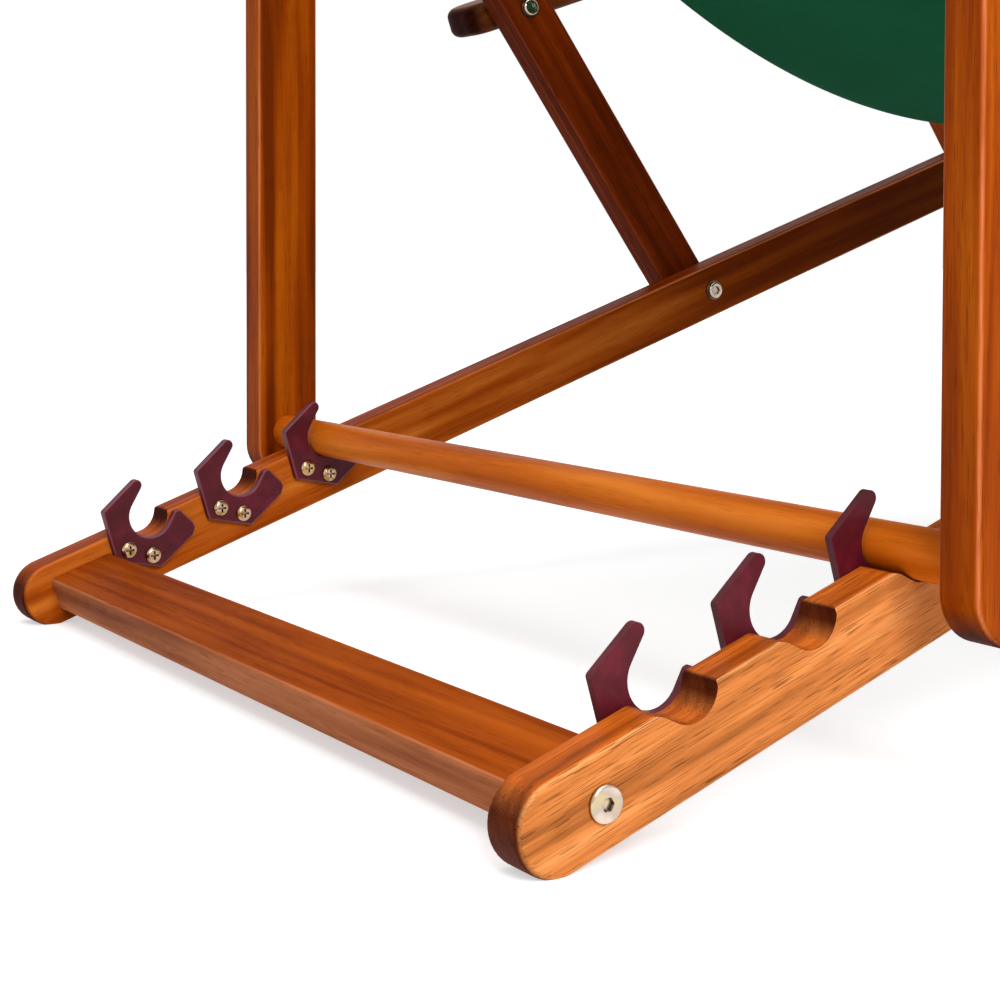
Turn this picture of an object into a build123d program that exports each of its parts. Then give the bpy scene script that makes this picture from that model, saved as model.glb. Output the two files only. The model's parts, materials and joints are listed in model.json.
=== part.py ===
from build123d import *
from math import acos, asin, asinh, atan2, cos, degrees, hypot, radians, sin, sinh, sqrt, tan
import os

# Deck chair: a folding hardwood frame with a canvas sling, propped at the back by a dowel in notched rails.
# +Z is up and the chair faces -Y. The origin is on the floor, under the middle of the chair's box.
# Side views use two measures: reach, forward from the base rails' rear ends, and height, up from the floor.
# Along and across are measured on a base rail: along from its rear end, across from its lower edge.

# Timber
rail_depth = 38
rail_thickness = 22
upright_width = 44
upright_thickness = 22
arm_width = 60
arm_thickness = 22
board_width = 40
board_thickness = 20
arris_radius = 3
board_arris_radius = 2
arm_edge_radius = 7
arm_rear_corner_radius = 32
arm_front_corner_radius = 16
floor_flat_depth = 0.8

# Stance
width_over_rails = 560
layer_gap = 3.5
base_slope = 19.2
back_lean = 53.6
base_length = 1040
base_pivot_along = 561
arm_pivot_rise = 253
link_length = 334.5
head_bar_rise = 852
head_overhang = 8
front_bar_setback = 24
arm_pivot_drop = 10.1
arm_rear_overhang = 30
arm_front_overhang = 60
stretcher_setback = 58

# Notches, the prop's dowel and the board
notch_count = 3
rear_notch_along = 90
notch_pitch = 65
notch_radius = 13.5
notch_depth = 11
notch_slope = 45
notch_shoulder_radius = 10
notch_lip_radius = 2
notch_break_angle = 8
dowel_radius = 11.25
dowel_lift = 0.65
dowel_offset = 0.5
dowel_socket_depth = 14
upright_foot_drop = 9
board_along = 40
board_across = 18.5

# Notch hooks, with their outline's corners as shares of the rail's depth, from the notch's middle
# and from the rail's lower edge
hook_thickness = 5
hook_bevel = 0.8
hook_corner_radius = 2
hook_tip_radius = 3.6
hook_mouth_radius = 13.8
hook_mouth_offset = 0.5
hook_mouth_flare = 43
hook_tip_shares = (-0.053, 1.626)
hook_outline_shares = (
    (0.505, 0.965),
    (0.661, 0.666),
    (0.668, 0.568),
    (0.589, 0.471),
    (-0.089, 0.195),
    (-0.768, 0.592),
    (-0.724, 1.442),
)
hook_screw_shares = ((-0.521, 0.695), (-0.168, 0.445))

# Round bars with turned tenons
bar_radius = 12.5
tenon_radius = 9
tenon_length = 16
tenon_play = 0.1

# Canvas
canvas_width = 464
canvas_thickness = 1.6
canvas_slack = 554
canvas_spans = 8
hem_play = 0.3
seam_step = 0.1

# Pivots and fasteners
running_play = 0.05
open_pivot_play = 0.2
side_play = 0.1
pivot_radius = 4
pivot_head_radius = 6
pivot_head_height = 2.5
washer_radius = 7.2
washer_height = 1.2
spacer_radius = 9
arm_spacer_radius = 7
nut_radius = 8
nut_height = 2.6
cap_nut_radius = 7
cap_nut_height = 5
hex_socket_width = 6
hex_socket_depth = 1.7
head_crown = 1.3
barrel_nut_radius = 6
barrel_nut_length = 16
arm_bolt_depth = 42
arm_nut_depth = 32
board_bolt_radius = 3
board_bolt_head_radius = 7.5
board_bolt_head_height = 2
board_bolt_length = 56
board_socket_width = 5.2
board_nut_radius = 5
board_nut_length = 14
board_nut_setback = 24
screw_radius = 2
screw_head_radius = 5.2
screw_head_height = 2.6
screw_length = 16
cross_width = 1.3
cross_span = 5.4
cross_depth = 1.4
bar_screw_length = 45
bar_screw_head_radius = 4.2
bar_screw_cone = 2.4

overrun = 20
quarter_turn = 90
half_turn = 180

# Places across the chair, from the middle outwards
rail_outer = width_over_rails / 2
rail_inner = rail_outer - rail_thickness
back_inner = rail_outer + layer_gap
back_outer = back_inner + rail_thickness
prop_inner = back_outer + layer_gap
prop_outer = prop_inner + upright_thickness
arm_outer = prop_inner + arm_width
hook_face = rail_inner - hook_thickness

# Places in side view
rail_radius = rail_depth / 2
slope = radians(base_slope)
lean = radians(back_lean)
floor_centre = rail_radius - floor_flat_depth


def on_base(along, across=rail_radius):
    """Reach and height of a point on a base rail."""
    forward, up = along - rail_radius, across - rail_radius
    reach = rail_radius + forward * cos(slope) - up * sin(slope)
    return reach, floor_centre + forward * sin(slope) + up * cos(slope)


def on_line(start, angle, distance):
    """Reach and height at a distance from start, along an angle above the forward direction."""
    return start[0] + distance * cos(angle), start[1] + distance * sin(angle)


back_angle = radians(half_turn) - lean
base_pivot = on_base(base_pivot_along)
leg_pivot = on_base(base_pivot_along + link_length)
arm_pivot = on_line(base_pivot, back_angle, arm_pivot_rise)
arm_front_pivot = on_line(arm_pivot, slope, link_length)
head_bar_centre = on_line(base_pivot, back_angle, head_bar_rise)
front_bar_centre = on_base(base_length - front_bar_setback)
leg_reach_down = (leg_pivot[1] - floor_centre) / sin(lean)
leg_foot = on_line(leg_pivot, -lean, leg_reach_down)
stretcher_centre = on_line(leg_foot, back_angle, stretcher_setback)
last_notch_along = rear_notch_along + (notch_count - 1) * notch_pitch
notch_floor = rail_depth - notch_depth
dowel_centre = on_base(last_notch_along - dowel_offset, notch_floor + dowel_lift + dowel_radius)
prop_pivot_rise = (base_pivot[0] - dowel_centre[0]) / cos(lean)
prop_pivot = on_line(base_pivot, back_angle, prop_pivot_rise)
back_top = on_line(head_bar_centre, back_angle, head_overhang)
rearmost = min(0, back_top[0] - rail_radius)
middle_reach = (leg_foot[0] + rail_radius + rearmost) / 2


def to_y(reach):
    """Y of a point at a reach."""
    return middle_reach - reach


def side_plane(x, centre, angle=0.0):
    """Plane square to X: local x runs forward and up the angle, local y upward, and an extrusion inwards."""
    reach, height = centre
    return Plane((x, to_y(reach), height), (0, -cos(angle), sin(angle)), (-1, 0, 0))


def drill(radius, centre, x_outer, x_inner):
    """Cut a round hole along X."""
    with BuildSketch(side_plane(x_outer, centre)) as hole:
        Circle(radius)
    extrude(hole.sketch, amount=x_outer - x_inner, mode=Mode.SUBTRACT)


def countersink(centre, x_face):
    """Cut the seat of a bar screw's head into an outer face."""
    with BuildSketch(side_plane(x_face, centre)) as mouth_circle:
        Circle(bar_screw_head_radius)
    with BuildSketch(side_plane(x_face - bar_screw_cone, centre)) as throat:
        Circle(screw_radius + running_play)
    loft([mouth_circle.sketch, throat.sketch], mode=Mode.SUBTRACT)


def save(piece, name):
    """Label a finished piece and write its file."""
    piece.part.label = name
    export_step(piece.part, f"parts/{name}.step")


def mirrored(piece):
    """The same piece on the chair's other side."""
    with BuildPart() as twin:
        mirror(piece.part, about=Plane.YZ)
    return twin


def save_pair(piece, name):
    """Write a left piece and its right twin."""
    save(piece, f"{name}_left")
    save(mirrored(piece), f"{name}_right")


os.makedirs("parts", exist_ok=True)

# Base rails
notch_middle_across = notch_floor + notch_radius
break_angle = radians(notch_break_angle)
slope_sum = notch_middle_across - notch_radius * sqrt(2)
shoulder_across = rail_depth - notch_shoulder_radius * cos(break_angle)
shoulder_offset = slope_sum - notch_shoulder_radius * sqrt(2) - shoulder_across
lip_across = rail_depth - notch_lip_radius * cos(break_angle)
lip_gap = notch_radius + notch_lip_radius
lip_offset = sqrt(lip_gap**2 - (notch_middle_across - lip_across) ** 2)
lip_turn = atan2(lip_across - notch_middle_across, lip_offset)
shoulder_start = quarter_turn - notch_break_angle
shoulder_sweep = shoulder_start - notch_slope
lip_sweep = notch_break_angle - quarter_turn - degrees(lip_turn)
notch_sweep = degrees(lip_turn) + half_turn - notch_slope

# Profile of one notch, from its middle and the rail's lower edge
with BuildSketch() as notch_profile:
    with BuildLine():
        shoulder = CenterArc(
            (shoulder_offset, shoulder_across), notch_shoulder_radius, shoulder_start, -shoulder_sweep
        )
        seat = CenterArc((0, notch_middle_across), notch_radius, half_turn + notch_slope, notch_sweep)
        lip = CenterArc((lip_offset, lip_across), notch_lip_radius, half_turn + degrees(lip_turn), lip_sweep)
        Line(shoulder @ 1, seat @ 0)
        top_rear = (shoulder @ 0) + (0, overrun)
        top_front = (lip @ 1) + (0, overrun)
        Polyline(lip @ 1, top_front, top_rear, shoulder @ 0)
    make_face()

with BuildPart() as base_rail:
    with BuildSketch(side_plane(rail_outer, on_base(base_length / 2), slope)):
        SlotOverall(base_length, rail_depth)
    extrude(amount=rail_thickness)
    fillet(faces().filter_by(Axis.X).edges(), arris_radius)
    with BuildSketch(side_plane(rail_outer + overrun, on_base(0, 0), slope)):
        with Locations(*[(rear_notch_along + notch * notch_pitch, 0) for notch in range(notch_count)]):
            add(notch_profile.sketch)
    extrude(amount=rail_thickness + 2 * overrun, mode=Mode.SUBTRACT)
    with BuildSketch(Plane.XY):
        with Locations((rail_outer, to_y(rail_radius))):
            Rectangle(width_over_rails, rail_depth)
    extrude(amount=-overrun, mode=Mode.SUBTRACT)
    for pivot in (base_pivot, leg_pivot):
        drill(pivot_radius + running_play, pivot, rail_outer, rail_inner)
    drill(board_bolt_radius + running_play, on_base(board_along, board_across), rail_outer, rail_inner)
    drill(tenon_radius + tenon_play, front_bar_centre, rail_inner + tenon_length, rail_inner)
    drill(screw_radius + running_play, front_bar_centre, rail_outer, rail_inner)
    countersink(front_bar_centre, rail_outer)
    for notch in range(notch_count):
        for share_along, share_across in hook_screw_shares:
            along = rear_notch_along + notch * notch_pitch + share_along * rail_depth
            screw_place = on_base(along, share_across * rail_depth)
            drill(screw_radius + running_play, screw_place, hook_face + screw_length + side_play, rail_inner)
save_pair(base_rail, "base_rail")

# Cross board between the base rails
board_centre = on_base(board_along, board_across)
board_bolt_end = rail_outer - board_bolt_length
board_nut_x = rail_inner - board_nut_setback
with BuildPart() as cross_board:
    with BuildSketch(side_plane(rail_inner, board_centre, slope)):
        Rectangle(board_width, board_thickness)
    extrude(amount=2 * rail_inner)
    fillet(edges().filter_by(Axis.X), board_arris_radius)
    for end in (1, -1):
        with BuildSketch(side_plane(end * (rail_inner + board_bolt_end) / 2, board_centre)):
            Circle(board_bolt_radius + running_play)
        extrude(amount=(rail_inner - board_bolt_end) / 2 + side_play, both=True, mode=Mode.SUBTRACT)
        nut_plane = Plane(
            (end * board_nut_x, to_y(board_centre[0]), board_centre[1]),
            (1, 0, 0),
            (0, sin(slope), cos(slope)),
        )
        with BuildSketch(nut_plane.offset(board_nut_length / 2)):
            Circle(board_nut_radius + running_play)
        extrude(amount=-(board_nut_length + board_thickness), mode=Mode.SUBTRACT)
save(cross_board, "cross_board")


def fastener_plane(x, centre, outward):
    """Plane at a head's bearing face: local z runs down the shank."""
    return Plane((x, to_y(centre[0]), centre[1]), (0, 1, 0), (outward, 0, 0))


def hex_bolt(radius, length, head_radius, head_height, socket_width):
    """Low-headed bolt with a hex socket, its bearing face on the local XY plane."""
    with BuildPart() as bolt:
        with BuildSketch(Plane.XY):
            Circle(head_radius)
        extrude(amount=-head_height)
        fillet(edges().group_by(Axis.Z)[0], head_crown)
        with BuildSketch(Plane.XY):
            Circle(radius)
        extrude(amount=length)
        with BuildSketch(Plane.XY.offset(-head_height)):
            RegularPolygon(socket_width / 2, 6, major_radius=False)
        extrude(amount=hex_socket_depth, mode=Mode.SUBTRACT)
    return bolt.part


def cross_screw():
    """Pan-head screw with a cross recess, its bearing face on the local XY plane."""
    with BuildPart() as screw:
        with BuildSketch(Plane.XY):
            Circle(screw_head_radius)
        extrude(amount=-screw_head_height)
        fillet(edges().group_by(Axis.Z)[0], screw_head_height - side_play)
        with BuildSketch(Plane.XY):
            Circle(screw_radius)
        extrude(amount=screw_length)
        with BuildSketch(Plane.XY.offset(-screw_head_height)):
            Rectangle(cross_span, cross_width)
            Rectangle(cross_width, cross_span)
        extrude(amount=cross_depth, mode=Mode.SUBTRACT)
    return screw.part


def ring(outer_radius, bore_radius, height):
    """Washer, spacer or nut on the local XY plane."""
    with BuildPart() as disc:
        with BuildSketch(Plane.XY):
            Circle(outer_radius)
            Circle(bore_radius, mode=Mode.SUBTRACT)
        extrude(amount=height)
    return disc.part


def bar_screw():
    """Countersunk screw, its head's top on the local XY plane."""
    with BuildPart() as screw:
        with BuildSketch(Plane.XY.offset(side_play)):
            Circle(bar_screw_head_radius - side_play)
        with BuildSketch(Plane.XY.offset(bar_screw_cone)):
            Circle(screw_radius)
        loft()
        with BuildSketch(Plane.XY.offset(bar_screw_cone)):
            Circle(screw_radius)
        extrude(amount=bar_screw_length - bar_screw_cone)
        with BuildSketch(Plane.XY.offset(side_play)):
            Rectangle(cross_span, cross_width)
            Rectangle(cross_width, cross_span)
        extrude(amount=cross_depth, mode=Mode.SUBTRACT)
    return screw.part


def save_fasteners(name, shape, places):
    """Set copies of a fastener at places (x, centre, outward) on the left, mirror them and write them."""
    with BuildPart() as group:
        with Locations(*[fastener_plane(*place) for place in places]):
            add(shape)
        mirror(about=Plane.YZ)
    save(group, name)


# Connector bolts and barrel nuts of the board
board_bolt = hex_bolt(
    board_bolt_radius, board_bolt_length, board_bolt_head_radius, board_bolt_head_height, board_socket_width
)
save_fasteners("board_bolts", board_bolt, [(rail_outer, board_centre, -1)])
with BuildPart() as board_nuts:
    with BuildSketch(
        Plane(
            (board_nut_x, to_y(board_centre[0]), board_centre[1]), (1, 0, 0), (0, sin(slope), cos(slope))
        )
    ):
        Circle(board_nut_radius)
    extrude(amount=board_nut_length / 2, both=True)
    drill(board_bolt_radius + running_play, board_centre, rail_inner, board_nut_x - overrun)
    mirror(about=Plane.YZ)
save(board_nuts, "board_barrel_nuts")

# Notch hooks
tip = (hook_tip_shares[0] * rail_depth, hook_tip_shares[1] * rail_depth)
mouth = (hook_mouth_offset, notch_floor + hook_mouth_radius)
tip_run, tip_rise = tip[0] - mouth[0], tip[1] - mouth[1]
underside = acos((hook_mouth_radius + hook_tip_radius) / hypot(tip_run, tip_rise)) + atan2(-tip_run, tip_rise)
outline = [(a * rail_depth, b * rail_depth) for a, b in hook_outline_shares]
top_run, top_rise = tip[0] - outline[-1][0], tip[1] - outline[-1][1]
top_turn = atan2(top_rise, top_run) + asin(hook_tip_radius / hypot(top_run, top_rise))
tip_start = degrees(top_turn) + quarter_turn
tip_sweep = degrees(underside) - quarter_turn - tip_start
mouth_start = degrees(underside) + quarter_turn
flare = radians(hook_mouth_flare)
mouth_sweep = 3 * quarter_turn + hook_mouth_flare - mouth_start
flare_start = (mouth[0] + hook_mouth_radius * sin(flare), mouth[1] - hook_mouth_radius * cos(flare))
arm_top = outline[0][1]
arm_inner = (flare_start[0] + (arm_top - flare_start[1]) / tan(flare), arm_top)
for notch in range(notch_count):
    notch_along = rear_notch_along + notch * notch_pitch
    with BuildPart() as notch_hook:
        with BuildSketch(side_plane(rail_inner, on_base(notch_along, 0), slope)):
            with BuildLine():
                tip_arc = CenterArc(tip, hook_tip_radius, tip_start, tip_sweep)
                mouth_arc = CenterArc(mouth, hook_mouth_radius, mouth_start, mouth_sweep)
                Line(tip_arc @ 1, mouth_arc @ 0)
                FilletPolyline(mouth_arc @ 1, arm_inner, *outline, tip_arc @ 0, radius=hook_corner_radius)
            make_face()
            with Locations(*[(a * rail_depth, b * rail_depth) for a, b in hook_screw_shares]):
                Circle(screw_radius + running_play, mode=Mode.SUBTRACT)
        extrude(amount=hook_thickness)
        chamfer(faces().sort_by(Axis.X)[0].outer_wire().edges(), hook_bevel)
    save_pair(notch_hook, f"notch_hook_{notch + 1}")

screw_places = []
for notch in range(notch_count):
    for share_along, share_across in hook_screw_shares:
        along = rear_notch_along + notch * notch_pitch + share_along * rail_depth
        screw_places.append((hook_face, on_base(along, share_across * rail_depth), 1))
save_fasteners("hook_screws", cross_screw(), screw_places)


def turned_bar(name, centre, shoulder):
    """Round bar between two side pieces, with a tenon at each end bored for its screw."""
    with BuildPart() as bar:
        with BuildSketch(side_plane(shoulder, centre)):
            Circle(bar_radius)
        extrude(amount=2 * shoulder)
        with BuildSketch(side_plane(shoulder + tenon_length, centre)):
            Circle(tenon_radius)
        extrude(amount=2 * (shoulder + tenon_length))
        screw_end = shoulder + rail_thickness - bar_screw_length - side_play
        drill(screw_radius + running_play, centre, shoulder + tenon_length, screw_end)
        drill(screw_radius + running_play, centre, -screw_end, -(shoulder + tenon_length))
    save(bar, name)
    save_fasteners(f"{name}_screws", bar_screw(), [(shoulder + rail_thickness, centre, -1)])


turned_bar("front_bar", front_bar_centre, rail_inner)

# Pivot sets of the base: bolt from the inner face, washer, spacer and low nut outside
base_pivots = (base_pivot, leg_pivot)
through_bolt_length = washer_height + back_outer - rail_inner + side_play + nut_height / 2
through_bolt = hex_bolt(
    pivot_radius, through_bolt_length, pivot_head_radius, pivot_head_height, hex_socket_width
)
washer = ring(washer_radius, pivot_radius + running_play, washer_height)
spacer = ring(spacer_radius, pivot_radius + running_play, layer_gap - 2 * side_play)


def low_nut(radius, height):
    """Closed nut that takes a bolt's end, open at the local XY plane."""
    with BuildPart() as nut:
        with BuildSketch(Plane.XY):
            Circle(radius)
        extrude(amount=height)
        fillet(edges().group_by(Axis.Z)[-1], head_crown)
        with BuildSketch(Plane.XY):
            Circle(pivot_radius + running_play)
        extrude(amount=nut_height / 2 + running_play, mode=Mode.SUBTRACT)
    return nut.part


save_fasteners("base_pivot_bolts", through_bolt, [(rail_inner - washer_height, c, 1) for c in base_pivots])
save_fasteners("base_pivot_washers", washer, [(rail_inner - washer_height, c, 1) for c in base_pivots])
save_fasteners("base_pivot_spacers", spacer, [(rail_outer + side_play, c, 1) for c in base_pivots])
save_fasteners(
    "base_pivot_nuts", low_nut(nut_radius, nut_height), [(back_outer + side_play, c, 1) for c in base_pivots]
)

# Back rails and head bar
back_span = head_bar_rise + head_overhang
with BuildPart() as back_rail:
    with BuildSketch(side_plane(back_outer, on_line(base_pivot, back_angle, back_span / 2), back_angle)):
        SlotCenterToCenter(back_span, rail_depth)
    extrude(amount=rail_thickness)
    fillet(faces().filter_by(Axis.X).edges(), arris_radius)
    for pivot in (base_pivot, arm_pivot, prop_pivot):
        drill(pivot_radius + running_play, pivot, back_outer, back_inner)
    drill(tenon_radius + tenon_play, head_bar_centre, back_inner + tenon_length, back_inner)
    drill(screw_radius + running_play, head_bar_centre, back_outer, back_inner)
    countersink(head_bar_centre, back_outer)
save_pair(back_rail, "back_rail")
turned_bar("head_bar", head_bar_centre, back_inner)

# Pivot sets of the back: arm bolts into barrel nuts, prop bolts through the uprights to cap nuts
arm_bolt_length = washer_height + prop_inner - back_inner + arm_bolt_depth
arm_bolt = hex_bolt(pivot_radius, arm_bolt_length, pivot_head_radius, pivot_head_height, hex_socket_width)
arm_spacer = ring(arm_spacer_radius, pivot_radius + running_play, layer_gap - 2 * side_play)
prop_bolt_length = washer_height + prop_outer - back_inner + side_play + nut_height / 2
prop_bolt = hex_bolt(pivot_radius, prop_bolt_length, pivot_head_radius, pivot_head_height, hex_socket_width)
save_fasteners("arm_pivot_bolts", arm_bolt, [(back_inner - washer_height, arm_pivot, 1)])
save_fasteners("prop_pivot_bolts", prop_bolt, [(back_inner - washer_height, prop_pivot, 1)])
save_fasteners(
    "back_pivot_washers", washer, [(back_inner - washer_height, c, 1) for c in (arm_pivot, prop_pivot)]
)
save_fasteners("arm_pivot_spacers", arm_spacer, [(back_outer + side_play, arm_pivot, 1)])
save_fasteners("prop_pivot_spacers", spacer, [(back_outer + side_play, prop_pivot, 1)])
save_fasteners(
    "prop_pivot_nuts", low_nut(cap_nut_radius, cap_nut_height), [(prop_outer + side_play, prop_pivot, 1)]
)

# Canvas sling: a hanging curve from the head bar to the front bar, hemmed round both
hem_inner = bar_radius + hem_play
hem_middle = hem_inner + canvas_thickness / 2


def hem_top(bar_centre, turn):
    """Point on a hem's middle line where the canvas leaves the bar at a turn."""
    return bar_centre[0] - hem_middle * sin(turn), bar_centre[1] + hem_middle * cos(turn)


def sling_curve():
    """Turns at the front and the head of the hanging curve that touches both hems, and its front point."""
    front_turn, head_turn = slope, -lean
    for _ in range(8):
        front = hem_top(front_bar_centre, front_turn)
        head = hem_top(head_bar_centre, head_turn)
        half_run = (front[0] - head[0]) / (2 * canvas_slack)
        middle = asinh((front[1] - head[1]) / (2 * canvas_slack * sinh(half_run)))
        front_turn = atan2(sinh(middle + half_run), 1)
        head_turn = atan2(sinh(middle - half_run), 1)
    return front_turn, head_turn, front


front_turn, head_turn, sling_front = sling_curve()
sling_length = canvas_slack * (sin(front_turn) / cos(front_turn) - sin(head_turn) / cos(head_turn))
turn_step = (front_turn - head_turn) / canvas_spans
sling_turns = [front_turn - step * turn_step for step in range(canvas_spans + 1)]


def sling_edge(depth, turns):
    """Chain of tangent arcs along the hanging curve, at a depth under its middle line."""
    point = Vector(sling_front[0] + depth * sin(turns[0]), sling_front[1] - depth * cos(turns[0]))
    for first, last in zip(turns, turns[1:]):
        arc_length = canvas_slack * (sin(first) / cos(first) - sin(last) / cos(last))
        radius = arc_length / (first - last) + depth
        backwards = Vector(-cos(first), -sin(first))
        arc = JernArc(point, backwards, radius, degrees(last - first))
        point = arc @ 1
    return point


def sling_band(upper, lower, turns):
    """Face between two depths of the hanging curve."""
    with BuildLine() as band:
        upper_start = Vector(sling_front[0] + upper * sin(turns[0]), sling_front[1] - upper * cos(turns[0]))
        lower_start = Vector(sling_front[0] + lower * sin(turns[0]), sling_front[1] - lower * cos(turns[0]))
        upper_end = sling_edge(upper, turns)
        lower_end = sling_edge(lower, turns)
        Line(upper_start, lower_start)
        Line(upper_end, lower_end)
    make_face(band.edges())


half_sheet = canvas_thickness / 2 - seam_step
with BuildPart() as canvas:
    with BuildSketch(side_plane(canvas_width / 2, (0, 0))):
        sling_band(-half_sheet, half_sheet, sling_turns)
        with Locations(front_bar_centre, head_bar_centre):
            Circle(hem_inner + canvas_thickness)
            Circle(hem_inner, mode=Mode.SUBTRACT)
    extrude(amount=canvas_width)
save(canvas, "canvas")

# Prop: two uprights and the dowel that drops into the notches
upright_radius = upright_width / 2
upright_span = prop_pivot[1] - dowel_centre[1] + upright_foot_drop
upright_middle = (dowel_centre[0], prop_pivot[1] - upright_span / 2)
with BuildPart() as prop_upright:
    with BuildSketch(side_plane(prop_outer, upright_middle, radians(quarter_turn))):
        SlotCenterToCenter(upright_span, upright_width)
    extrude(amount=upright_thickness)
    fillet(faces().filter_by(Axis.X).edges(), arris_radius)
    drill(pivot_radius + running_play, prop_pivot, prop_outer, prop_inner)
    drill(dowel_radius + tenon_play, dowel_centre, prop_inner + dowel_socket_depth, prop_inner)
    drill(screw_radius + running_play, dowel_centre, prop_outer, prop_inner)
    countersink(dowel_centre, prop_outer)
save_pair(prop_upright, "prop_upright")

with BuildPart() as prop_dowel:
    dowel_end = prop_inner + dowel_socket_depth
    with BuildSketch(side_plane(dowel_end, dowel_centre)):
        Circle(dowel_radius)
    extrude(amount=2 * dowel_end)
    dowel_screw_end = prop_outer - bar_screw_length - side_play
    drill(screw_radius + running_play, dowel_centre, dowel_end, dowel_screw_end)
    drill(screw_radius + running_play, dowel_centre, -dowel_screw_end, -dowel_end)
save(prop_dowel, "prop_dowel")
save_fasteners("prop_dowel_screws", bar_screw(), [(prop_outer, dowel_centre, -1)])

# Arms
arm_length = arm_rear_overhang + link_length + arm_front_overhang
arm_middle_x = (prop_inner + arm_outer) / 2


def arm_plane(along, rise):
    """Plane of an arm's board: local x runs forward from the back's pivot, y outwards, z off its top."""
    reach, height = on_line(arm_pivot, slope, along)
    origin = (arm_middle_x, to_y(reach - rise * sin(slope)), height + rise * cos(slope))
    return Plane(origin, (0, -cos(slope), sin(slope)), (0, sin(slope), cos(slope)))


arm_pivots = ((0, running_play), (link_length, open_pivot_play))
arm_bore_end = prop_inner + arm_bolt_depth + side_play
with BuildPart() as arm:
    with BuildSketch(arm_plane(arm_length / 2 - arm_rear_overhang, -arm_pivot_drop)) as plan:
        Rectangle(arm_length, arm_width)
        rear_outer = plan.vertices().group_by(Axis.X)[0].sort_by(Axis.Y)[-1]
        others = [corner for corner in plan.vertices() if corner != rear_outer]
        fillet(others, arm_front_corner_radius)
        fillet(plan.vertices().group_by(Axis.X)[0].sort_by(Axis.Y)[-1], arm_rear_corner_radius)
    extrude(amount=arm_thickness)
    long_way = Vector(0, sin(slope), cos(slope))
    flats = faces().filter_by(lambda f: abs(f.normal_at().dot(long_way)) > cos(slope))
    fillet(flats.edges(), arm_edge_radius)
    for along, play in arm_pivots:
        pivot = on_line(arm_pivot, slope, along)
        drill(pivot_radius + play, pivot, arm_bore_end, prop_inner - overrun)
        with BuildSketch(arm_plane(along, barrel_nut_length / 2)):
            with Locations((0, prop_inner + arm_nut_depth - arm_middle_x)):
                Circle(barrel_nut_radius + running_play)
        extrude(amount=-(barrel_nut_length + arm_thickness), mode=Mode.SUBTRACT)
save_pair(arm, "arm")

with BuildPart() as barrel_nuts:
    for along, play in arm_pivots:
        with BuildSketch(arm_plane(along, 0)):
            with Locations((0, prop_inner + arm_nut_depth - arm_middle_x)):
                Circle(barrel_nut_radius)
        extrude(amount=barrel_nut_length / 2, both=True)
        drill(pivot_radius + play, on_line(arm_pivot, slope, along), arm_bore_end, prop_inner)
save_pair(barrel_nuts, "arm_barrel_nuts")

# Front legs, their stretcher and the bolts at the arms
with BuildPart() as leg:
    leg_span = hypot(leg_foot[0] - arm_front_pivot[0], leg_foot[1] - arm_front_pivot[1])
    with BuildSketch(side_plane(back_outer, on_line(leg_foot, back_angle, leg_span / 2), back_angle)):
        SlotCenterToCenter(leg_span, rail_depth)
    extrude(amount=rail_thickness)
    fillet(faces().filter_by(Axis.X).edges(), arris_radius)
    for pivot in (leg_pivot, arm_front_pivot):
        drill(pivot_radius + running_play, pivot, back_outer, back_inner)
    drill(tenon_radius + tenon_play, stretcher_centre, back_inner + tenon_length, back_inner)
    drill(screw_radius + running_play, stretcher_centre, back_outer, back_inner)
    countersink(stretcher_centre, back_outer)
    with BuildSketch(Plane.XY):
        with Locations((back_outer, to_y(leg_foot[0]))):
            Rectangle(width_over_rails, rail_depth)
    extrude(amount=-overrun, mode=Mode.SUBTRACT)
save_pair(leg, "leg")
turned_bar("leg_stretcher", stretcher_centre, back_inner)
save_fasteners("leg_top_bolts", arm_bolt, [(back_inner - washer_height, arm_front_pivot, 1)])
save_fasteners("leg_top_washers", washer, [(back_inner - washer_height, arm_front_pivot, 1)])
save_fasteners("leg_top_spacers", arm_spacer, [(back_outer + side_play, arm_front_pivot, 1)])

print("canvas length between the bars", round(sling_length, 1))
for name, point in {
    "base_pivot": base_pivot,
    "leg_pivot": leg_pivot,
    "arm_pivot": arm_pivot,
    "prop_pivot": prop_pivot,
    "dowel": dowel_centre,
    "head_bar": head_bar_centre,
    "front_bar": front_bar_centre,
    "foot": leg_foot,
}.items():
    print(name, [round(to_y(point[0]), 3), round(point[1], 3)])
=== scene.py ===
import json
from bisect import bisect_right
from math import asinh, atan, atan2, cos, cosh, pi, radians, sin, sinh, tan

import bmesh
import bpy
from mathutils import Matrix, Vector, noise


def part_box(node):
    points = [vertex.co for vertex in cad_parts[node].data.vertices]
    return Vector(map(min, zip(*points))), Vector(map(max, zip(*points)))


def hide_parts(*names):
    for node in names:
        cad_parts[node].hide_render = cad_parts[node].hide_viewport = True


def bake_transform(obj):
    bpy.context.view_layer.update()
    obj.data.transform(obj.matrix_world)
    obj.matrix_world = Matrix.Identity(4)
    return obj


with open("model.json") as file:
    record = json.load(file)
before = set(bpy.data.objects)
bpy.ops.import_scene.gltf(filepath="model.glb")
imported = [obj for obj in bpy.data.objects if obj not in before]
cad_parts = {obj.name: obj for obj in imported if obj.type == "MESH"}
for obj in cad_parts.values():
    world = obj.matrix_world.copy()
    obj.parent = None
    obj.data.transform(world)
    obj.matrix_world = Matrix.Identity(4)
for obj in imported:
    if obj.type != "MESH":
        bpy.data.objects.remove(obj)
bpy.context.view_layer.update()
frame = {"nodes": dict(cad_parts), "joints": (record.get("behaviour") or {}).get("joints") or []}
nodes = frame["nodes"]
joints = {joint["name"]: Vector(joint["pos_m"]) for joint in frame["joints"]}

# Lengths are in metres. MM turns a length in millimetres to metres.
MM = 0.001

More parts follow.
